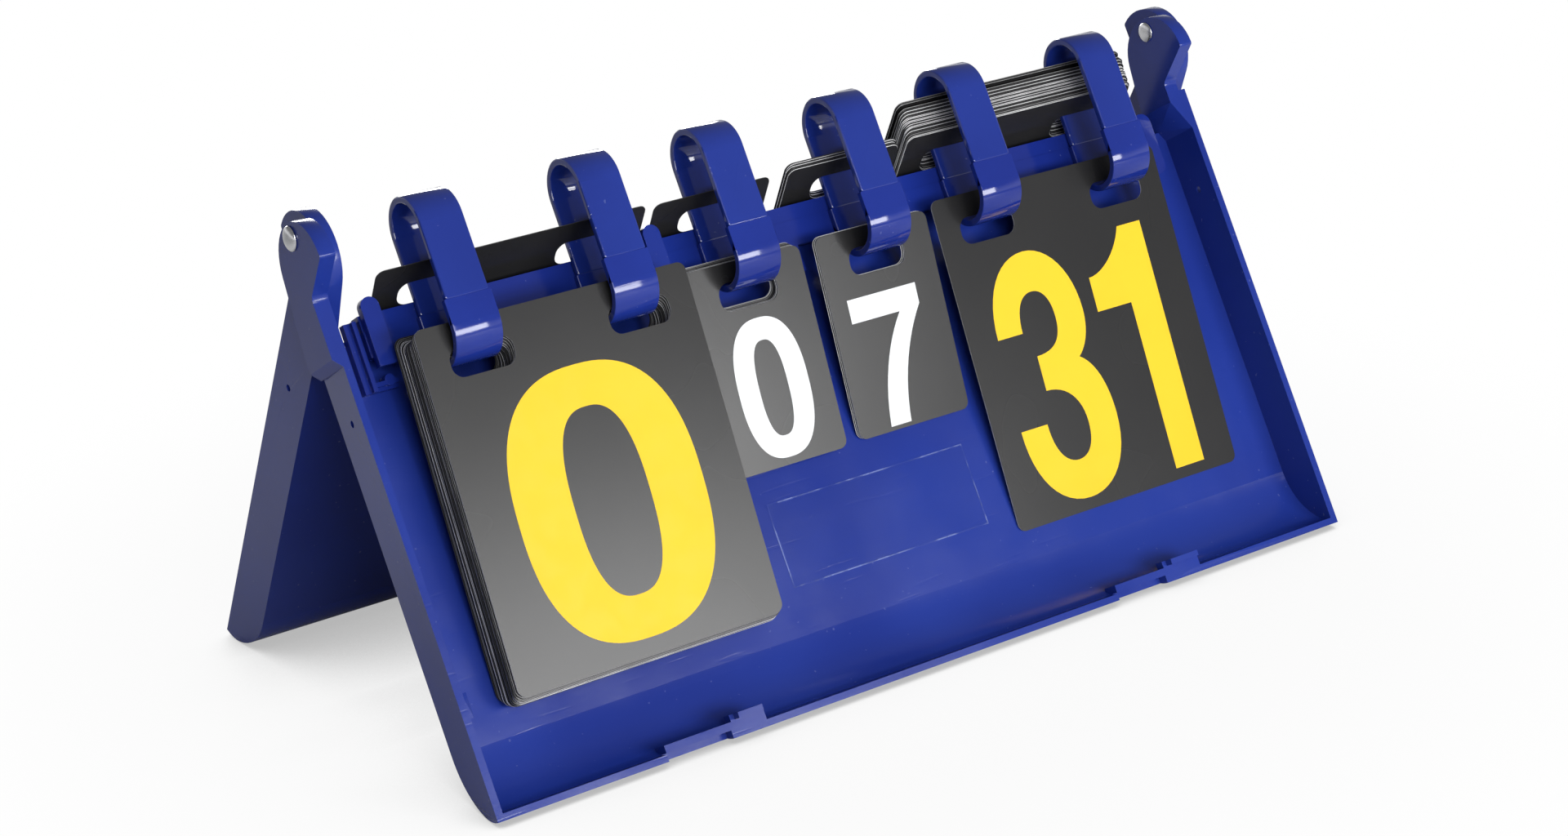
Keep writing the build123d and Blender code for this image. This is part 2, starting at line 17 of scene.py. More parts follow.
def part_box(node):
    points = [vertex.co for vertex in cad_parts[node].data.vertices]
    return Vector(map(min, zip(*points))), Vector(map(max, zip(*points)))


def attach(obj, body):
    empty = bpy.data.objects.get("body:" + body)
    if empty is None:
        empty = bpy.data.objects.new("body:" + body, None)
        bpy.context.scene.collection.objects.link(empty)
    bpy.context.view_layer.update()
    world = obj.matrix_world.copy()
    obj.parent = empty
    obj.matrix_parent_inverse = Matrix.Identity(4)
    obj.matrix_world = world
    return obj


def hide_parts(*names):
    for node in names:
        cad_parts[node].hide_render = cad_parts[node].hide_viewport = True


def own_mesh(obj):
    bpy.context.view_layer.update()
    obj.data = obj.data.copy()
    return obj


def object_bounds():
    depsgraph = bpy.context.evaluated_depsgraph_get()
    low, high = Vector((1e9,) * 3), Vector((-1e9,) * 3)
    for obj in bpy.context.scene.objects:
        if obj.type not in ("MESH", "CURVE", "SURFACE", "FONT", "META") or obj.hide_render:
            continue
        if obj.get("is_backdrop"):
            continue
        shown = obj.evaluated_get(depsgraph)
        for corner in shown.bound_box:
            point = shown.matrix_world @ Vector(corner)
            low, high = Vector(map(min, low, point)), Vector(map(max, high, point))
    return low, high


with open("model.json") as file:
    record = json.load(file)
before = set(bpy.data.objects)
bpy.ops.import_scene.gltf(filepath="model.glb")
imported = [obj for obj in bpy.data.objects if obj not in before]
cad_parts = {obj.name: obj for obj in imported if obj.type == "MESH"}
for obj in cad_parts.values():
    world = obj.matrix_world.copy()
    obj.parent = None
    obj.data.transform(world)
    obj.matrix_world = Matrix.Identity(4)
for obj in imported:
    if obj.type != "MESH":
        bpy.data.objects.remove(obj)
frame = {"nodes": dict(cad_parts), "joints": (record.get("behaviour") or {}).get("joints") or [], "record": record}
solid_low, solid_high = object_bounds()
nodes = frame["nodes"]
print("solid parts:", len(nodes), "size:", [round(side, 4) for side in solid_high - solid_low])

# %% [markdown]
# ## Camera
#
# A product photograph is matched best by working out where the photographer stood. The view comes from
# the left of the scoreboard and a little above it, about 1.3 metres away, with a long lens and a slight
# roll. Blender wants that as a rotation matrix: its columns are the camera's right, its up, and the
# direction back towards the photographer. A small lens shift frames the object without turning the view.

# %% Place the camera
view_turn = math.radians(-34.3)
view_rise = math.radians(21.93)
view_roll = math.radians(-2.98)
camera_place = Vector((-0.6495, -0.9668, 0.5155))

back = Vector((math.sin(view_turn) * math.cos(view_rise), -math.cos(view_turn) * math.cos(view_rise),
               math.sin(view_rise)))
level_right = Vector((math.cos(view_turn), math.sin(view_turn), 0))
level_up = back.cross(level_right)
right = level_right * math.cos(view_roll) + level_up * math.sin(view_roll)
up = level_up * math.cos(view_roll) - level_right * math.sin(view_roll)

lens = bpy.data.cameras.new("studio_camera")
lens.lens = 75.06
lens.shift_x = -0.0152
lens.shift_y = 0.0316
camera = bpy.data.objects.new("studio_camera", lens)
camera.matrix_world = Matrix.Translation(camera_place) @ Matrix((right, up, back)).transposed().to_4x4()
bpy.context.scene.collection.objects.link(camera)
bpy.context.scene.camera = camera
print("camera looks along", [round(part, 3) for part in -back])

# %% [markdown]
# ## The directions of a tray
#
# Cards hang along the slope of a tray, so it helps to measure along it too: u runs up the tray's floor
# from its bottom edge and v runs out of its open side. One function turns those into a place in the
# room. The rear tray is the front one turned half round, which only flips the sign of Y.

# %% From tray measures to places
mm = 0.001
lean = math.radians(29.42)
front, rear = 1, -1


def tray_direction(along, out, tray=front):
    return Vector((0, tray * (along * math.sin(lean) - out * math.cos(lean)),
                   along * math.cos(lean) + out * math.sin(lean)))


# %% [markdown]
# ## Shader helpers
#
# A finish is a small network of nodes that ends in a Principled shader. A few helpers keep the networks
# short to read: one adds a node and sets its inputs, and the others make soft noise, stretch its range,
# mix two colours and combine two values. Textures read the object coordinates, so a pattern sticks to its
# part and turns with it.

# %% Helpers that build materials
def new_material(name):
    material = bpy.data.materials.new(name)
    material.use_nodes = True
    tree = material.node_tree
    tree.nodes.clear()
    output = tree.nodes.new("ShaderNodeOutputMaterial")
    shader = tree.nodes.new("ShaderNodeBsdfPrincipled")
    tree.links.new(shader.outputs["BSDF"], output.inputs["Surface"])
    return material, tree, shader


def add_node(tree, kind, settings=None, **inputs):
    node = tree.nodes.new("ShaderNode" + kind)
    for setting, value in (settings or {}).items():
        setattr(node, setting, value)
    for key, value in inputs.items():
        socket = node.inputs[key.replace("_", " ")]
        if isinstance(value, bpy.types.NodeSocket):
            tree.links.new(value, socket)
        else:
            socket.default_value = value
    return node


def object_coordinates(tree):
    return add_node(tree, "TexCoord").outputs["Object"]


def noise(tree, where, size, detail=2.0):
    """Soft noise whose lumps are about this many metres across."""
    texture = add_node(tree, "TexNoise", Vector=where, Scale=1 / size, Detail=detail)
    return texture.outputs["Fac"]


def spread(tree, value, low, high, from_low=0.35, from_high=0.65):
    """Stretches a noise value to run from low to high."""
    span = add_node(tree, "MapRange", {"interpolation_type": "SMOOTHSTEP"}, Value=value)
    span.inputs["From Min"].default_value = from_low
    span.inputs["From Max"].default_value = from_high
    span.inputs["To Min"].default_value = low
    span.inputs["To Max"].default_value = high
    return span.outputs["Result"]


def two_colours(tree, first, second, factor):
    mix = add_node(tree, "Mix", {"data_type": "RGBA"})
    mix.inputs[6].default_value = (*first, 1)
    mix.inputs[7].default_value = (*second, 1)
    tree.links.new(factor, mix.inputs[0])
    return mix.outputs[2]


def combine(tree, operation, first, second):
    """A Math node of two outputs."""
    both = add_node(tree, "Math", {"operation": operation})
    tree.links.new(first, both.inputs[0])
    tree.links.new(second, both.inputs[1])
    return both.outputs[0]


print("shader helpers ready")

# %% [markdown]
# ## Glossy blue plastic
#
# The trays, the rail and the rings are injection moulded in one deep royal blue. Polished moulds leave a
# glossy skin, yet it is never a mirror: it has a faint orange peel, slow waves where the plastic shrank
# over the ribs, duller patches from handling, hair-fine scratches and a few specks of dust. Each of these
# is a noise of its own size. The big ones steer colour and roughness, the small ones feed the bump. The
# rings and their rail look shinier than the trays in the photograph, so each moulding has its own gloss.

# %% Blue plastic
cloud_size, patch_size, sink_size = 90 * mm, 30 * mm, 35 * mm
peel_size, dust_size, scratch_size = 2.2 * mm, 1.4 * mm, 1.6 * mm
dust_blue = (0.11, 0.14, 0.36)
plastic_ior = 1.49


def blue_plastic(name, light, deep, dull, peel_height, gloss=0.42):
    """Moulded plastic: dull is its middle roughness and gloss its specular level."""
    material, tree, shader = new_material(name)
    where = object_coordinates(tree)
    clouds = noise(tree, where, cloud_size)
    colour = two_colours(tree, deep, light, spread(tree, clouds, 0, 1))

    # Dust: only the highest tips of a fine noise
    specks = spread(tree, noise(tree, where, dust_size, 0), 0, 0.5, 0.83, 0.88)
    dusty = add_node(tree, "Mix", {"data_type": "RGBA"})
    dusty.inputs[7].default_value = (*dust_blue, 1)
    tree.links.new(colour, dusty.inputs[6])
    tree.links.new(specks, dusty.inputs[0])
    tree.links.new(dusty.outputs[2], shader.inputs["Base Color"])

    # Handling dulls the gloss in patches, and scratches are thin stretched noise
    patches = spread(tree, noise(tree, where, patch_size, 4), dull - 0.04, dull + 0.06, 0.25, 0.75)
    tree.links.new(patches, shader.inputs["Roughness"])
    shader.inputs["IOR"].default_value = plastic_ior
    shader.inputs["Specular IOR Level"].default_value = gloss

    stretched = add_node(tree, "Mapping", Vector=where, Scale=(0.06, 1, 1), Rotation=(0.3, 0.2, 0.5))
    scratches = spread(tree, noise(tree, stretched.outputs[0], scratch_size, 0), 0, 1, 0.7, 0.8)
    peel = add_node(tree, "Bump", Height=noise(tree, where, peel_size), Strength=peel_height,
                    Distance=0.1 * mm)
    sink = add_node(tree, "Bump", Height=noise(tree, where, sink_size, 1), Strength=0.2, Distance=0.6 * mm,
                    Normal=peel.outputs[0])
    cuts = add_node(tree, "Bump", {"invert": True}, Height=scratches, Strength=0.12, Distance=0.1 * mm,
                    Normal=sink.outputs[0])
    tree.links.new(cuts.outputs[0], shader.inputs["Normal"])
    return material


tray_plastic = blue_plastic("tray_plastic", light=(0.0155, 0.038, 0.28), deep=(0.0115, 0.029, 0.235),
                            dull=0.2, peel_height=0.18)
ring_plastic = blue_plastic("ring_plastic", light=(0.0155, 0.037, 0.272), deep=(0.012, 0.029, 0.23),
                            dull=0.07, peel_height=0.06, gloss=0.62)
rail_plastic = blue_plastic("rail_plastic", light=(0.0125, 0.032, 0.265), deep=(0.01, 0.024, 0.215),
                            dull=0.1, peel_height=0.08, gloss=0.55)
print("blue plastics:", tray_plastic.name, ring_plastic.name, rail_plastic.name)

# %% [markdown]
# ## Rivet metal, clear film and card
#
# The rivets are plain aluminium, pressed smooth and a little tarnished. The label is a clear film: almost
# nothing but a thin sheen, with a painted highlight along its cut edge and on its lifted corner. The cards
# are dark plastic sheet, satin on the face. Their edges are painted dark, grey or pale: the grey and pale
# ones are painted highlights, which draw the lines in a deck. The numbers' ink is opaque and duller than
# the card.

# %% Metal, film and card materials
def rivet_metal():
    material, tree, shader = new_material("rivet_metal")
    where = object_coordinates(tree)
    tarnish = spread(tree, noise(tree, where, 6 * mm), 0, 1)
    colour = two_colours(tree, (0.56, 0.57, 0.59), (0.68, 0.68, 0.7), tarnish)
    tree.links.new(colour, shader.inputs["Base Color"])
    tree.links.new(spread(tree, noise(tree, where, 3 * mm), 0.2, 0.3), shader.inputs["Roughness"])
    shader.inputs["Metallic"].default_value = 1.0
    grain = add_node(tree, "Bump", Height=noise(tree, where, 0.8 * mm), Strength=0.06, Distance=0.1 * mm)
    tree.links.new(grain.outputs[0], shader.inputs["Normal"])
    return material


def clear_film(middle, half_width, half_height):
    """Nearly nothing in the middle, a broken painted highlight along the cut edge and on the corner that has
    lifted.
    """
    material, tree, shader = new_material("clear_film")
    where = object_coordinates(tree)
    across, along = Vector((1, 0, 0)), tray_direction(1, 0)
    offset = add_node(tree, "VectorMath", {"operation": "SUBTRACT"})
    tree.links.new(where, offset.inputs[0])
    offset.inputs[1].default_value = middle
    highlight_bands = []
    for direction, half in ((across, half_width), (along, half_height)):
        measure = add_node(tree, "VectorMath", {"operation": "DOT_PRODUCT"})
        tree.links.new(offset.outputs["Vector"], measure.inputs[0])
        measure.inputs[1].default_value = direction
        size = add_node(tree, "Math", {"operation": "ABSOLUTE"})
        tree.links.new(measure.outputs["Value"], size.inputs[0])
        highlight_bands.append(spread(tree, size.outputs[0], 0, 1, half - 0.9 * mm, half - 0.2 * mm))
    lifted = add_node(tree, "VectorMath", {"operation": "DISTANCE"})
    tree.links.new(where, lifted.inputs[0])
    lifted.inputs[1].default_value = middle - across * half_width + along * half_height
    highlight_bands.append(spread(tree, lifted.outputs["Value"], 0.7, 0, 1.5 * mm, 6 * mm))
    rim = combine(tree, "MAXIMUM", combine(tree, "MAXIMUM", highlight_bands[0], highlight_bands[1]), highlight_bands[2])
    # The pale colour and extra opacity in these bands are a painted highlight, broken up by noise
    broken_highlight = combine(tree, "MULTIPLY", rim, spread(tree, noise(tree, where, 9 * mm, 3), 0.2, 1, 0.4, 0.62))
    tree.links.new(spread(tree, broken_highlight, 0.03, 0.5, 0, 1), shader.inputs["Alpha"])
    colour = two_colours(tree, (0.05, 0.09, 0.42), (0.25, 0.32, 0.7), broken_highlight)
    tree.links.new(colour, shader.inputs["Base Color"])
    tree.links.new(spread(tree, noise(tree, where, 8 * mm, 3), 0.12, 0.26), shader.inputs["Roughness"])
    ripple = add_node(tree, "Bump", Height=noise(tree, where, 12 * mm, 1), Strength=0.2, Distance=0.3 * mm)
    tree.links.new(ripple.outputs[0], shader.inputs["Normal"])
    return material


# Pale grey of the painted highlight on the sides of the solid front cards
side_highlight_grey = (0.6, 0.6, 0.605)


def card_face(name, facing=None):
    """Satin card. Where a solid card carries it, its sides turn away from facing and get a pale painted highlight.
    """
    material, tree, shader = new_material(name)
    where = object_coordinates(tree)
    worn = spread(tree, noise(tree, where, 50 * mm), 0, 1, 0.2, 0.8)
    colour = two_colours(tree, (0.018, 0.018, 0.0186), (0.0215, 0.0213, 0.0217), worn)
    if facing:
        slope = add_node(tree, "VectorMath", {"operation": "DOT_PRODUCT"})
        tree.links.new(add_node(tree, "TexCoord").outputs["Normal"], slope.inputs[0])
        slope.inputs[1].default_value = facing
        flat = add_node(tree, "Math", {"operation": "ABSOLUTE"})
        tree.links.new(slope.outputs["Value"], flat.inputs[0])
        # Sides that turn away from facing get a painted highlight
        side_highlight = add_node(tree, "Mix", {"data_type": "RGBA"})
        tree.links.new(spread(tree, flat.outputs[0], 1, 0, 0.5, 0.8), side_highlight.inputs[0])
        tree.links.new(colour, side_highlight.inputs[6])
        side_highlight.inputs[7].default_value = (*side_highlight_grey, 1)
        colour = side_highlight.outputs[2]
    tree.links.new(colour, shader.inputs["Base Color"])
    satin = spread(tree, noise(tree, where, 40 * mm, 1), 0.26, 0.28, 0.1, 0.9)
    tree.links.new(satin, shader.inputs["Roughness"])
    shader.inputs["Specular IOR Level"].default_value = 0.36
    grain = add_node(tree, "Bump", Height=noise(tree, where, 0.4 * mm), Strength=0.12, Distance=0.05 * mm)
    tree.links.new(grain.outputs[0], shader.inputs["Normal"])
    return material


def card_edge(name, shade):
    material, tree, shader = new_material(name)
    where = object_coordinates(tree)
    smear = spread(tree, noise(tree, where, 12 * mm, 3), 0, 1)
    darker = tuple(0.72 * part for part in shade)
    tree.links.new(two_colours(tree, darker, shade, smear), shader.inputs["Base Color"])
    tree.links.new(spread(tree, noise(tree, where, 4 * mm), 0.4, 0.6), shader.inputs["Roughness"])
    return material


def print_ink(name, colour, worn_colour):
    material, tree, shader = new_material(name)
    where = object_coordinates(tree)
    cover = spread(tree, noise(tree, where, 30 * mm, 6), 0, 1, 0.2, 0.6)
    tree.links.new(two_colours(tree, worn_colour, colour, cover), shader.inputs["Base Color"])
    tree.links.new(spread(tree, noise(tree, where, 10 * mm, 3), 0.46, 0.54), shader.inputs["Roughness"])
    shader.inputs["Specular IOR Level"].default_value = 0.25
    grain = add_node(tree, "Bump", Height=noise(tree, where, 0.5 * mm), Strength=0.08, Distance=0.05 * mm)
    tree.links.new(grain.outputs[0], shader.inputs["Normal"])
    return material


metal = rivet_metal()
label_low, label_high = (Vector(corner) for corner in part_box("clear_label"))
label_middle = (label_low + label_high) / 2
label_half_width, label_half_height = 45 * mm, 16 * mm
film = clear_film(label_middle, label_half_width, label_half_height)
face_stock = card_face("card_face")
card_lean = math.radians(8)
front_card_stock = card_face("front_card_face", tray_direction(-math.sin(card_lean), math.cos(card_lean)))
# The grey and pale edge stocks are painted highlights that draw the lines in a deck
edge_stocks = [card_edge("card_edge_dark", (0.03, 0.03, 0.031)),
               card_edge("card_edge_highlight_grey", (0.3, 0.3, 0.302)),
               card_edge("card_edge_highlight_pale", (0.86, 0.86, 0.87))]
yellow_ink = print_ink("yellow_ink", (0.91, 0.585, 0.02), (0.87, 0.56, 0.017))
white_ink = print_ink("white_ink", (0.84, 0.85, 0.87), (0.74, 0.75, 0.78))
print("materials:", len(bpy.data.materials))

# %% [markdown]
# ## Dressing the solid parts
#
# A moulded edge is never knife sharp. A bevel modifier rounds every edge that turns by more than 35
# degrees, and that thin round is what catches the light along the rims and rings. The solid parts come
# as loose triangles, so a weld modifier joins them first.

# %% Materials and soft edges on the solid parts
finish_of_slot = {"case_blue": tray_plastic, "rail_blue": rail_plastic, "ring_blue": ring_plastic,
                  "rivet_metal": metal, "clear_film": film, "card_stock": front_card_stock}
slot_of_node = {row["node"]: row["material_slot"] for row in frame["record"]["subparts"]}
edge_round = {"case_blue": 0.5 * mm, "rail_blue": 0.4 * mm, "ring_blue": 0.6 * mm}
sharp_from, weld_reach = math.radians(35), 0.002 * mm


def soften(part, width):
    weld = part.modifiers.new("join_triangles", "WELD")
    weld.merge_threshold = weld_reach
    bevel = part.modifiers.new("moulded_edge", "BEVEL")
    bevel.width = width
    bevel.segments = 2
    bevel.limit_method = "ANGLE"
    bevel.angle_limit = sharp_from
    bevel.use_clamp_overlap = True


for name, part in nodes.items():
    slot_name = slot_of_node[name]
    part.data.materials.clear()
    part.data.materials.append(finish_of_slot[slot_name])
    if slot_name in edge_round:
        soften(part, edge_round[slot_name])
print("dressed", len(nodes), "solid parts")

# %% [markdown]
# ## Rivets
#
# A rivet has a low domed head outside and, inside, a tail that a punch has pressed into a smaller dome.
# That is a turned shape: one profile of points, spun about the rivet's own axis. The two rivets face
# opposite ways, so the profile is reversed for one of them to keep its faces pointing outwards.

# %% Turn the rivets
dome_sharp_from = math.radians(38)


def turned_piece(name, profile, middle, steps=56):
    """Spins (x, radius) points about a line along X through the middle."""
    vertices, faces = [], []
    for x, radius in profile:
        for step in range(steps):
            turn = 2 * math.pi * step / steps
            vertices.append((x, middle.y + radius * math.cos(turn), middle.z + radius * math.sin(turn)))
    for ring in range(len(profile) - 1):
        for step in range(steps):
            after = (step + 1) % steps
            faces.append((ring * steps + step, ring * steps + after, (ring + 1) * steps + after,
                          (ring + 1) * steps + step))
    faces.append(tuple(range(steps))[::-1])
    faces.append(tuple(range((len(profile) - 1) * steps, len(profile) * steps)))
    mesh = bpy.data.meshes.new(name)
    mesh.from_pydata(vertices, [], faces)
    for polygon in mesh.polygons:
        polygon.use_smooth = True
    mesh.set_sharp_from_angle(angle=dome_sharp_from)
    piece = bpy.data.objects.new(name, mesh)
    bpy.context.scene.collection.objects.link(piece)
    return piece


head_radius, head_height, head_rim = 4.5 * mm, 2 * mm, 0.25 * mm
tail_radius, tail_height, tail_rim = 3.9 * mm, 1.2 * mm, 0.2 * mm
shank_radius, seat_step, tip_radius = 2.2 * mm, 0.1 * mm, 0.02 * mm
dome_steps = 12


def dome(seat, way, radius, height, rim):
    """Points from beside a dome's tip to its rim, which stands a little off its seat."""
    turns = [math.radians(90 * step / dome_steps) for step in range(1, dome_steps + 1)]
    return [(seat + way * (rim + (height - rim) * math.cos(turn)), radius * math.sin(turn)) for turn in turns]


for node, way in (("left_rivet", -1), ("right_rivet", 1)):
    low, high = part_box(node)
    head_end, tail_end = (low[0], high[0]) if way < 0 else (high[0], low[0])
    head_seat, tail_seat = head_end - way * head_height, tail_end + way * tail_height
    profile = [(head_end, tip_radius), *dome(head_seat, way, head_radius, head_height, head_rim),
               (head_seat, head_radius - seat_step), (head_seat, shank_radius),
               (tail_seat, shank_radius), (tail_seat, tail_radius - seat_step),
               *reversed(dome(tail_seat, -way, tail_radius, tail_height, tail_rim)), (tail_end, tip_radius)]
    if way > 0:
        profile.reverse()
    rivet = turned_piece(node + "_turned", profile, (Vector(low) + Vector(high)) / 2)
    rivet.data.materials.append(metal)
    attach(rivet, "front_case")
    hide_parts(node)
    print(rivet.name, "has", len(rivet.data.polygons), "faces")

# %% [markdown]
# ## The clear film
#
# The film is a few hundredths of a millimetre thick. It lies just clear of the tray's floor, because two
# surfaces in one plane would flicker. It is never quite flat: its rim is a little wavy, and one corner
# has come up. A grid of points gives it that shape, and a second grid below closes it.

# %% Lay the film
film_thickness, film_gap, film_sharp_from = 0.05 * mm, 0.04 * mm, math.radians(40)
wave_height, wave_reach, wave_across, wave_along = 0.06 * mm, 4 * mm, 420, 610
curl_height, curl_reach = 0.9 * mm, 8 * mm


def film_height(x, u):
    """How far the film stands off the floor at a place measured from its middle."""
    to_rim = min(label_half_width - abs(x), label_half_height - abs(u))
    ripples = 1 + math.sin(x * wave_across) * math.cos(u * wave_along + 1)
    wave = wave_height * max(0.0, 1 - to_rim / wave_reach) * ripples
    to_corner = math.hypot(x + label_half_width, u - label_half_height)
    curl_up = curl_height * max(0.0, 1 - to_corner / curl_reach) ** 2
    return film_gap + wave + curl_up


columns, rows = 91, 33
grid = [((2 * column / (columns - 1) - 1) * label_half_width, (2 * row / (rows - 1) - 1) * label_half_height)
        for row in range(rows) for column in range(columns)]
blank_thickness = 0.15 * mm
floor_middle = label_middle - tray_direction(0, 1) * blank_thickness / 2
film_points = [floor_middle + Vector((x, 0, 0)) + tray_direction(u, film_height(x, u) + raised)
               for raised in (film_thickness, 0) for x, u in grid]
film_faces = []
for row in range(rows - 1):
    for column in range(columns - 1):
        first = row * columns + column
        corners = (first, first + 1, first + columns + 1, first + columns)
        film_faces.append(corners)
        film_faces.append(tuple(corner + len(grid) for corner in reversed(corners)))
rim_loop = (list(range(columns)) + [row * columns + columns - 1 for row in range(1, rows)]
            + [(rows - 1) * columns + column for column in range(columns - 2, -1, -1)]
            + [row * columns for row in range(rows - 2, 0, -1)])
for first, second in zip(rim_loop, rim_loop[1:] + rim_loop[:1]):
    film_faces.append((second, first, first + len(grid), second + len(grid)))
film_mesh = bpy.data.meshes.new("clear_label_film")
film_mesh.from_pydata(film_points, [], film_faces)
for polygon in film_mesh.polygons:
    polygon.use_smooth = True
film_mesh.set_sharp_from_angle(angle=film_sharp_from)
film_mesh.materials.append(film)
film_piece = bpy.data.objects.new("clear_label_film", film_mesh)
bpy.context.scene.collection.objects.link(film_piece)
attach(film_piece, "front_case")
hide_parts("clear_label")
print("film:", len(film_mesh.polygons), "faces")

# %% [markdown]
# ## Cards, one by one
#
# Each deck is a block among the solid parts, but the eye reads a deck by its separate edges. Every card
# is drawn as a flat curve with round corners and its slots as holes; Blender fills it, and a little
# extrusion gives it the thickness of the sheet. A fine chamfer round the cut sets each sheet off from the
# next. A card is then copied, and its place varies by a few tenths of a millimetre, as in a deck that has
# been handled.

# %% Draw a card
def rounded_loop(width, height, radius, centre=(0, 0), steps=6):
    """Points round a rectangle with round corners."""
    points = []
    for quarter, (side_x, side_y) in enumerate([(1, 1), (-1, 1), (-1, -1), (1, -1)]):
        corner_x = centre[0] + side_x * (width / 2 - radius)
        corner_y = centre[1] + side_y * (height / 2 - radius)
        for step in range(steps + 1):
            turn = math.radians(90 * (quarter + step / steps))
            points.append((corner_x + radius * math.cos(turn), corner_y + radius * math.sin(turn)))
    return points


def flat_curve(name, loops, thickness, chamfer=0.0):
    """A filled flat shape from closed loops of points; loops inside others are holes."""
    curve = bpy.data.curves.new(name, "CURVE")
    curve.dimensions = "2D"
    curve.fill_mode = "BOTH"
    curve.extrude = thickness / 2 - chamfer
    curve.bevel_depth = chamfer
    curve.bevel_resolution = 0
    curve.offset = -chamfer
    for loop in loops:
        spline = curve.splines.new("POLY")
        spline.points.add(len(loop) - 1)
        for point, (x, y) in zip(spline.points, loop):
            point.co = (x, y, 0, 1)
        spline.use_cyclic_u = True
    return curve


def mesh_of(curve):
    holder = bpy.data.objects.new(curve.name + "_holder", curve)
    bpy.context.scene.collection.objects.link(holder)
    bpy.context.view_layer.update()
    drawn = holder.evaluated_get(bpy.context.evaluated_depsgraph_get())
    mesh = bpy.data.meshes.new_from_object(drawn)
    bpy.data.objects.remove(holder)
    bpy.data.curves.remove(curve)
    return mesh


slot_width, slot_height, slot_corner = 25.2 * mm, 10.5 * mm, 4.4 * mm
card_corner, cut_chamfer = 3.2 * mm, 0.09 * mm
points_card = {"width": 110 * mm, "height": 130 * mm, "margin": 9 * mm, "slots": (-32 * mm, 32 * mm)}
sets_card = {"width": 51 * mm, "height": 77 * mm, "margin": 7.1 * mm, "slots": (0,)}


def card_mesh(kind, thickness):
    """A card whose slots' top edges lie on its x axis."""
    middle = kind["margin"] - kind["height"] / 2
    loops = [rounded_loop(kind["width"], kind["height"], card_corner, (0, middle))]
    for slot in kind["slots"]:
        loops.append(rounded_loop(slot_width, slot_height, slot_corner, (slot, -slot_height / 2)))
    mesh = mesh_of(flat_curve("card", loops, thickness, cut_chamfer))
    mesh.materials.clear()

    # Number 0 marks the two broad faces and number 1 the cut edge with its chamfer
    for polygon in mesh.polygons:
        polygon.material_index = 0 if abs(polygon.normal.z) > 0.9 else 1
    return mesh


sample = card_mesh(points_card, 0.4 * mm)
print("one points card has", len(sample.polygons), "faces")
bpy.data.meshes.remove(sample)

# %% [markdown]
# ## The decks behind the front cards
#
# A card hangs by the top edge of its slot in the round curl of a ring, so cards at the front and the
# back of a deck sit higher than those in the middle. The front card of each deck is a solid part of its
# own. Its largest face gives the slope of the deck; the deck's cards are stacked behind it, each as high
# as the curl lets it.

# %% Join sheets into one piece
def joined(name, sheets, materials):
    """One object from sheets of (mesh, place, edge): edge is the material number of the sheet's sides."""
    vertices, faces, indices = [], [], []
    for mesh, place, edge in sheets:
        first = len(vertices)
        vertices += [place @ vertex.co for vertex in mesh.vertices]
        faces += [[first + corner for corner in polygon.vertices] for polygon in mesh.polygons]
        indices += [edge if polygon.material_index else 0 for polygon in mesh.polygons]
    whole = bpy.data.meshes.new(name)
    whole.from_pydata(vertices, [], faces)
    for material in materials:
        whole.materials.append(material)
    for polygon, index in zip(whole.polygons, indices):
        polygon.material_index = index
    whole.update()
    piece = bpy.data.objects.new(name, whole)
    bpy.context.scene.collection.objects.link(piece)
    return piece


print("sheets can be joined")

# %% Stack the decks behind the front cards
curl_of = {joint["child"]: Vector(joint["pos_m"]) for joint in frame["joints"]}
card_sheet = 0.38 * mm
hang_radius = 9.22 * mm

# Sheets are drawn a little thin, so that gaps show between them
drawn_share, room_share = 0.86, 0.8

# How strongly sheets clump, and how much wider a parting is than all the other gaps
clumping, gape = 5, 3

# A deck fans out quickly at first, and each card is a little out of place and out of square
fan_bend = 0.7
deck_slip, turned_slip, twist = 0.3 * mm, 0.4 * mm, 0.002
shuffle = random.Random(31)
deck_materials = [face_stock, *edge_stocks]


def leafed(thickness, count, parting=None):
    """Where each sheet of a deck lies: sheets cling in clumps, so a few gaps take most of the room.

    The deck gapes after sheet number parting.
    """
    sheet = min(card_sheet * drawn_share, thickness / count * room_share)
    gaps = [shuffle.random() ** clumping for _ in range(count)]
    if parting:
        gaps[parting] = gape * sum(gaps)
    scale = (thickness - sheet * count) / sum(gaps)
    places, depth = [], 0
    for gap in gaps:
        places.append(depth + sheet / 2)
        depth += sheet + gap * scale
    return sheet, places


def edge_highlight_tones(count, longest_dark):
    """Material numbers of the sheets' edges: one or two with a painted highlight, then a run of dark ones."""
    tones = []
    while len(tones) < count:
        tones += [shuffle.choice((2, 3, 3))] * shuffle.randint(1, 2)
        tones += [1] * shuffle.randint(1, longest_dark)
    return tones[:count]


def card_measures(node, tray=front):
    """Which way a card or block faces and where its ends and faces are, read off its mesh."""
    mesh = nodes[node].data
    facing = max(mesh.polygons, key=lambda polygon: polygon.area).normal.copy()
    if facing.dot(tray_direction(0, 1, tray)) < 0:
        facing.negate()
    along = facing.cross(Vector((tray, 0, 0)))
    ends = [vertex.co.dot(along) for vertex in mesh.vertices]
    depths = [vertex.co.dot(facing) for vertex in mesh.vertices]
    sides = [vertex.co.x for vertex in mesh.vertices]
    return {"along": along, "out": facing, "across": Vector((tray, 0, 0)), "top": max(ends),
            "bottom": min(ends), "front": max(depths), "back": min(depths),
            "middle": (max(sides) + min(sides)) / 2}


def place_on(card, slot_line, depth, shift=0.0, turn=0.0):
    """The place of a sheet on a card's slope: x along the case, y up the card and z out."""
    place = Vector((card["middle"] + shift, 0, 0)) + card["along"] * slot_line + card["out"] * depth
    turned = Matrix((card["across"], card["along"], card["out"])).transposed().to_4x4()
    return Matrix.Translation(place) @ turned @ Matrix.Rotation(turn, 4, "Z")


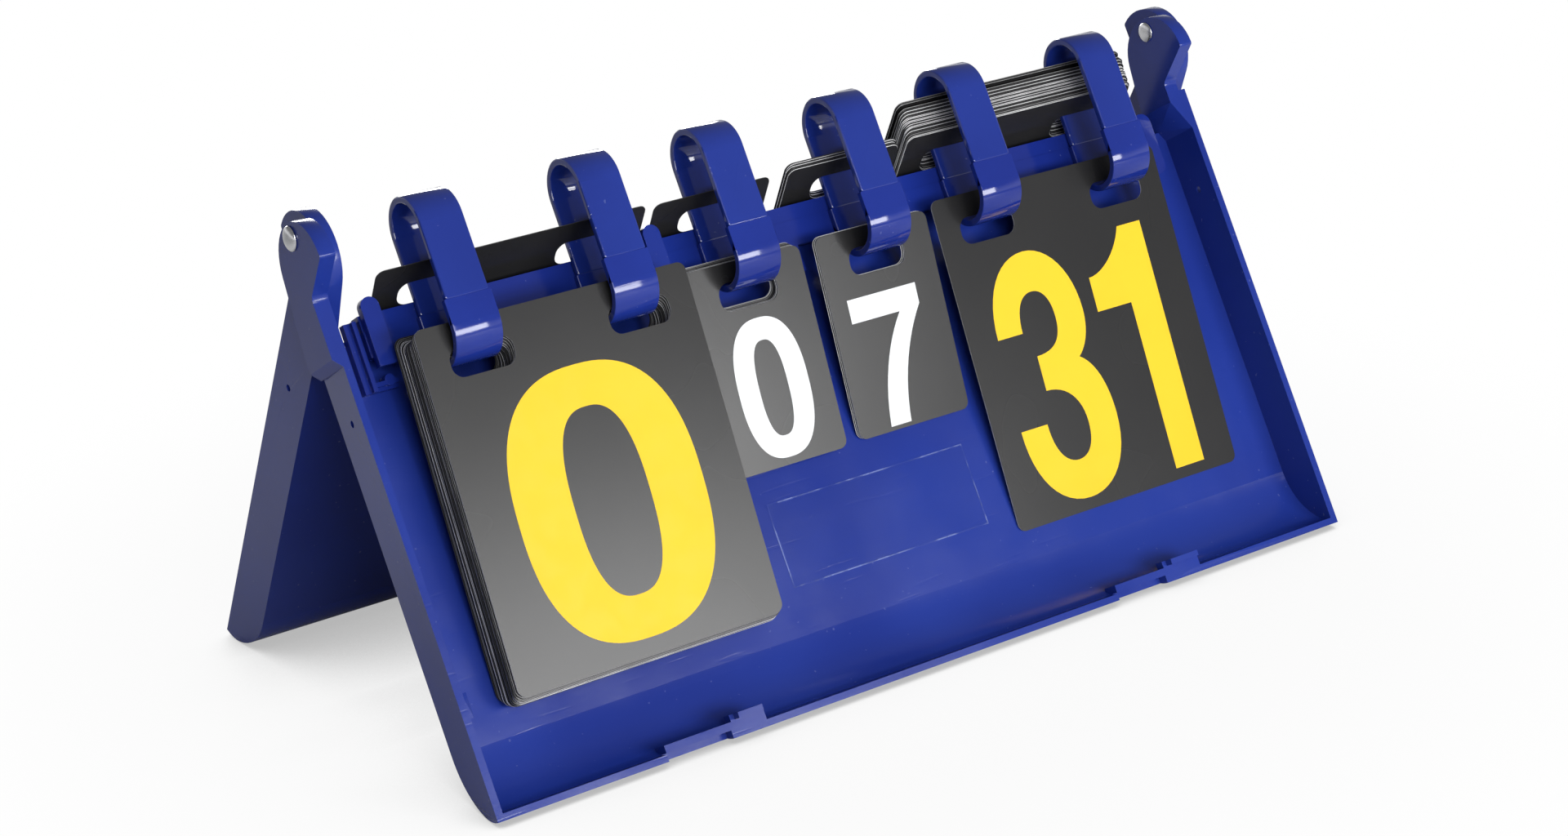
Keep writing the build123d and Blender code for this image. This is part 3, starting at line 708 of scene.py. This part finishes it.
front_decks = {"left_points": (points_card, 31, 1.8 * mm), "left_sets": (sets_card, 9, 0.3 * mm),
               "right_sets": (sets_card, 2, 0.5 * mm)}
for deck, (kind, count, fan) in front_decks.items():
    card = card_measures(deck + "_front_card")
    block = card_measures(deck + "_stack")
    curl = curl_of[deck + "_card"]
    curl_line, curl_depth = curl.dot(card["along"]), curl.dot(card["out"])
    thickness, depths = leafed(block["front"] - block["back"], count)
    sheet = card_mesh(kind, thickness)
    sheets = []
    for into_deck, tone in zip(depths, edge_highlight_tones(count, 2)):
        depth = block["front"] - into_deck
        fanned = -fan * (into_deck / depths[-1]) ** fan_bend
        reach = abs(depth - curl_depth) + card_sheet / 2
        slot_line = curl_line - math.sqrt(hang_radius ** 2 - reach ** 2)
        place = place_on(card, slot_line, depth, fanned + shuffle.uniform(-deck_slip, deck_slip),
                         shuffle.uniform(-twist, twist))
        sheets.append((sheet, place, tone))
    cards = joined(deck + "_cards", sheets, deck_materials)
    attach(cards, "front_case")
    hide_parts(deck + "_stack")
    print(deck, "deck:", count, "cards,", len(cards.data.polygons), "faces")

# %% [markdown]
# ## The cards turned over
#
# Cards that were turned lie against the rear tray, over the ridge. They stand on the rear legs of the
# rings, so each card further out also sits a little further up: the pile leans like a fanned pack. When
# the case is shut, the rear tray carries them over to the front, where the real cards slide round the
# rings one by one. Thinner than real cards could be, so that it clears the rings.

# %% Lay out the cards turned over
big_deck, last_turned = 9, 4
turned_decks = {"left_points": (points_card, 1), "left_sets": (sets_card, 1), "right_sets": (sets_card, 7),
                "right_points": (points_card, 31)}
for deck, (kind, count) in turned_decks.items():
    block = card_measures(deck + "_turned", rear)
    climb = (block["top"] - block["bottom"] - kind["height"]) / count
    parting = count - last_turned if count > big_deck else None
    thickness, depths = leafed(block["front"] - block["back"], count, parting)
    sheet = card_mesh(kind, thickness)
    sheets = []
    tones = edge_highlight_tones(count, 2) if count > 1 else [1]
    loose = 1 if count > 1 else 0
    for number, (depth, tone) in enumerate(zip(depths, tones)):
        slot_line = block["bottom"] + kind["height"] - kind["margin"] + climb * (number + 0.5)
        place = place_on(block, slot_line, block["back"] + depth,
                         loose * shuffle.uniform(-turned_slip, turned_slip),
                         loose * shuffle.uniform(-twist, twist))
        sheets.append((sheet, place, tone))
    cards = joined(deck + "_cards_turned", sheets, deck_materials)
    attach(cards, "rear_case")
    if count > 1:
        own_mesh(cards)
    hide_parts(deck + "_turned")
    print(deck, "turned over:", count, "cards")

# %% [markdown]
# ## The numbers
#
# The numbers are screen printed: flat, opaque and sharp edged. Each is drawn as an outline of lines and
# Bezier curves, in millimetres from the middle of the card and from the top edge of its slots, with a
# film of ink a few hundredths of a millimetre thick. The zeros are superellipses, which are squarer than
# ellipses, one inside the other.

# %% Print the numbers
def superellipse(centre, half_width, half_height, power, steps=96):
    points = []
    for step in range(steps):
        turn = 2 * math.pi * step / steps
        x = math.copysign(abs(math.cos(turn)) ** (2 / power), math.cos(turn)) * half_width
        y = math.copysign(abs(math.sin(turn)) ** (2 / power), math.sin(turn)) * half_height
        points.append(((centre[0] + x) * mm, (centre[1] + y) * mm))
    return points


curve_steps = 12


def traced(start, *steps):
    """An outline from its start: a step of one point is a line, one of three points is a Bezier curve."""
    points = [start]
    for step in steps:
        if len(step) == 2:
            points.append(step)
            continue
        first, handle_1, handle_2, last = points[-1], *step
        for part in range(1, curve_steps + 1):
            t = part / curve_steps
            weights = ((1 - t) ** 3, 3 * t * (1 - t) ** 2, 3 * t * t * (1 - t), t ** 3)
            corners = (first, handle_1, handle_2, last)
            points.append(tuple(sum(weight * corner[axis] for weight, corner in zip(weights, corners))
                                for axis in (0, 1)))
    return [(x * mm, y * mm) for x, y in points]


big_zero = [superellipse((0.7, -65.6), 37.6, 49.4, 2.5), superellipse((0.9, -65.4), 15.4, 34.1, 2.6)]
small_zero = [superellipse((0.7, -41.1), 15.3, 26.1, 2.5), superellipse((0.6, -41.2), 6.3, 17.9, 2.6)]
three = [traced((-41.4, -48.7), (-29.4, -48.7),
                ((-29.4, -39.5), (-26, -34), (-20.4, -34)), ((-15.2, -34), (-12.3, -38.8), (-12.3, -46)),
                ((-12.3, -54.5), (-16.5, -58.6), (-25.6, -58.6)), (-25.7, -72.3),
                ((-16, -72.3), (-10.2, -79), (-10.2, -88.5)),
                ((-10.2, -96.5), (-13.5, -101.3), (-19.2, -101.3)),
                ((-25.2, -101.3), (-29.5, -95.5), (-29.5, -84.7)), (-42.3, -84.7),
                ((-42.3, -103.5), (-33, -116.5), (-18.5, -116.5)),
                ((-5.5, -116.5), (3.9, -105.5), (3.9, -88.5)),
                ((3.9, -76.5), (0.2, -67), (-6.2, -63.3)), ((-1.6, -60), (1.3, -53.5), (1.3, -46)),
                ((1.3, -30.5), (-7.8, -18.3), (-19.5, -18.3)),
                ((-32.5, -18.3), (-41.4, -31), (-41.4, -48.7)))]
one = [traced((27.8, -18.8), (39.4, -18.8), (39.4, -116.6), (25, -116.6), (25, -48.9), (8.1, -48.9),
              (8.2, -35.2), ((15.5, -35.2), (24.5, -27.5), (27.8, -18.8)))]
seven = [traced((-17.7, -18.3), (13.8, -18.3), (13.8, -26.2), ((5.5, -37), (-0.5, -52), (-1.6, -68.3)),
                (-10.9, -68.3), ((-9.8, -53), (-4.5, -38), (4.3, -27.3)), (-17.7, -27.3))]
ink_height = 0.03 * mm
numbers = {"left_points": ([big_zero], points_card, yellow_ink),
           "left_sets": ([small_zero], sets_card, white_ink),
           "right_sets": ([seven], sets_card, white_ink),
           "right_points": ([three, one], points_card, yellow_ink)}
for deck, (figures, kind, ink) in numbers.items():
    card = card_measures(deck + "_front_card")
    slot_line = card["top"] - kind["margin"]
    prints = [(mesh_of(flat_curve("figure", figure, ink_height)),
               place_on(card, slot_line, card["front"] + ink_height / 2), 0) for figure in figures]
    printed = joined(deck + "_number", prints, [ink])
    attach(printed, deck + "_card")
    print(deck, "number:", len(printed.data.polygons), "faces")

# %% [markdown]
# ## The studio
#
# The photograph has a pure white background, yet its blue is deep: the room around the table was dim, and
# the lights were low. So the camera sees white everywhere, while mirrors and clear things see a grey
# table, a bright horizon and a dimmer room above it. The floor is white paper that also glows white; the
# soft shadow where the scoreboard stands on it is mostly painted into that glow, and mirrors see painted
# shade on the table close to the case.

# %% Floor
bpy.context.scene.view_settings.view_transform = "Standard"
room_level = 0.22
# The last of these is how far the painted contact shadow reaches
floor_side, floor_drop, painted_shadow_reach = 8, 0.2 * mm, 90 * mm


def seen_share(tree, by_camera, by_mirrors):
    """How much of the white is shown: one share to the camera, one to mirrors and clear things."""
    path = add_node(tree, "LightPath")
    mirror = combine(tree, "MAXIMUM", path.outputs["Is Glossy Ray"], path.outputs["Is Transmission Ray"])
    in_mirror = combine(tree, "MULTIPLY", mirror, by_mirrors)
    to_camera = path.outputs["Is Camera Ray"]
    if by_camera is not None:
        to_camera = combine(tree, "MULTIPLY", to_camera, by_camera)
    return combine(tree, "MAXIMUM", to_camera, in_mirror)


bpy.ops.mesh.primitive_plane_add(size=floor_side, location=(0, 0, solid_low.z - floor_drop))
floor = bpy.context.object
floor.name = "studio_floor"
floor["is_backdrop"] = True
paper, paper_tree, paper_shader = new_material("studio_paper")
paper_shader.inputs["Base Color"].default_value = (0.7, 0.7, 0.7, 1)
paper_shader.inputs["Roughness"].default_value = 0.8
paper_shader.inputs["Specular IOR Level"].default_value = 0.1
# Close to the case the white glow is dimmed: a painted contact shadow
closeness = add_node(paper_tree, "AmbientOcclusion", {"samples": 8}, Distance=painted_shadow_reach)
painted_contact_shadow = spread(paper_tree, closeness.outputs["AO"], 0.5, 1.0, 0.2, 0.85)
white = add_node(paper_tree, "Emission", Color=(1, 1, 1, 1), Strength=painted_contact_shadow)
away = add_node(paper_tree, "VectorMath", {"operation": "LENGTH"})
paper_tree.links.new(object_coordinates(paper_tree), away.inputs[0])
distance = away.outputs["Value"]

# The camera sees pure white from 0.4 m out. Mirrors see a painted ring of light round the case,
# with painted shade close to it
whiter = spread(paper_tree, distance, 0.93, 1.0, 0.16, 0.4)
painted_table_light = combine(paper_tree, "MULTIPLY", spread(paper_tree, distance, 0.06, 0.38, 0.18, 0.36),
                    spread(paper_tree, distance, 1, 0.45, 0.42, 0.7))
layers = add_node(paper_tree, "MixShader")
paper_tree.links.new(seen_share(paper_tree, whiter, painted_table_light), layers.inputs[0])
paper_tree.links.new(paper_shader.outputs["BSDF"], layers.inputs[1])
paper_tree.links.new(white.outputs[0], layers.inputs[2])
end = next(node for node in paper_tree.nodes if node.type == "OUTPUT_MATERIAL")
paper_tree.links.new(layers.outputs[0], end.inputs["Surface"])
floor.data.materials.append(paper)
print("floor laid at", round(floor.location.z, 4))

# %% [markdown]
# ## The room
#
# The world is what surrounds the table. Its Generated coordinate is the direction looked in, so its
# height above the horizon can steer how bright a mirror sees it.

# %% World
world = bpy.data.worlds.new("studio_world")
world.use_nodes = True
tree = world.node_tree
tree.nodes.clear()
backdrop = add_node(tree, "Background", Color=(1, 1, 1, 1), Strength=1.0)
room = add_node(tree, "Background", Color=(1, 1, 1, 1), Strength=room_level)
direction = add_node(tree, "SeparateXYZ", Vector=add_node(tree, "TexCoord").outputs["Generated"])
low_in_the_room = spread(tree, direction.outputs["Z"], 1, 0, 0.05, 0.3)
sky = add_node(tree, "MixShader")
tree.links.new(seen_share(tree, None, low_in_the_room), sky.inputs[0])
tree.links.new(room.outputs[0], sky.inputs[1])
tree.links.new(backdrop.outputs[0], sky.inputs[2])
tree.links.new(sky.outputs[0], add_node(tree, "OutputWorld").inputs["Surface"])
bpy.context.scene.world = world
print("room level:", room_level)

# %% [markdown]
# ## Softboxes
#
# A low, wide softbox to the right of the camera draws the white bands on the bends of the rings and the
# sheen on the lower half of the cards. Its top edge is low, so the flat fronts of the rings do not
# mirror it and keep their blue. A second one by the camera lights the front evenly, and a third does the
# same for the back, from low down so that the tops of the rings stay dark.

# %% Softboxes
def softbox(name, place, target, width, height, watts):
    lamp = bpy.data.lights.new(name, "AREA")
    lamp.shape = "RECTANGLE"
    lamp.size = width
    lamp.size_y = height
    lamp.energy = watts
    holder = bpy.data.objects.new(name, lamp)
    holder.location = place
    holder.rotation_euler = (Vector(target) - Vector(place)).to_track_quat("-Z", "Y").to_euler()
    bpy.context.scene.collection.objects.link(holder)
    return holder


low_softbox = softbox("low_softbox", (0.24, -1.18, 0.33), (0, 0, 0.16), 0.84, 0.3, 11)
front_softbox = softbox("front_softbox", (-0.4, -1.5, 0.85), (0, 0, 0.1), 0.8, 0.6, 10)
rear_softbox = softbox("rear_softbox", (0.5, 1.5, 0.4), (0, 0, 0.1), 0.9, 0.4, 14)
print("lamps:", low_softbox.name, front_softbox.name, rear_softbox.name)

# %% Print the dressed size
low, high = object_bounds()
print("dressed size:", [round(side, 4) for side in high - low])
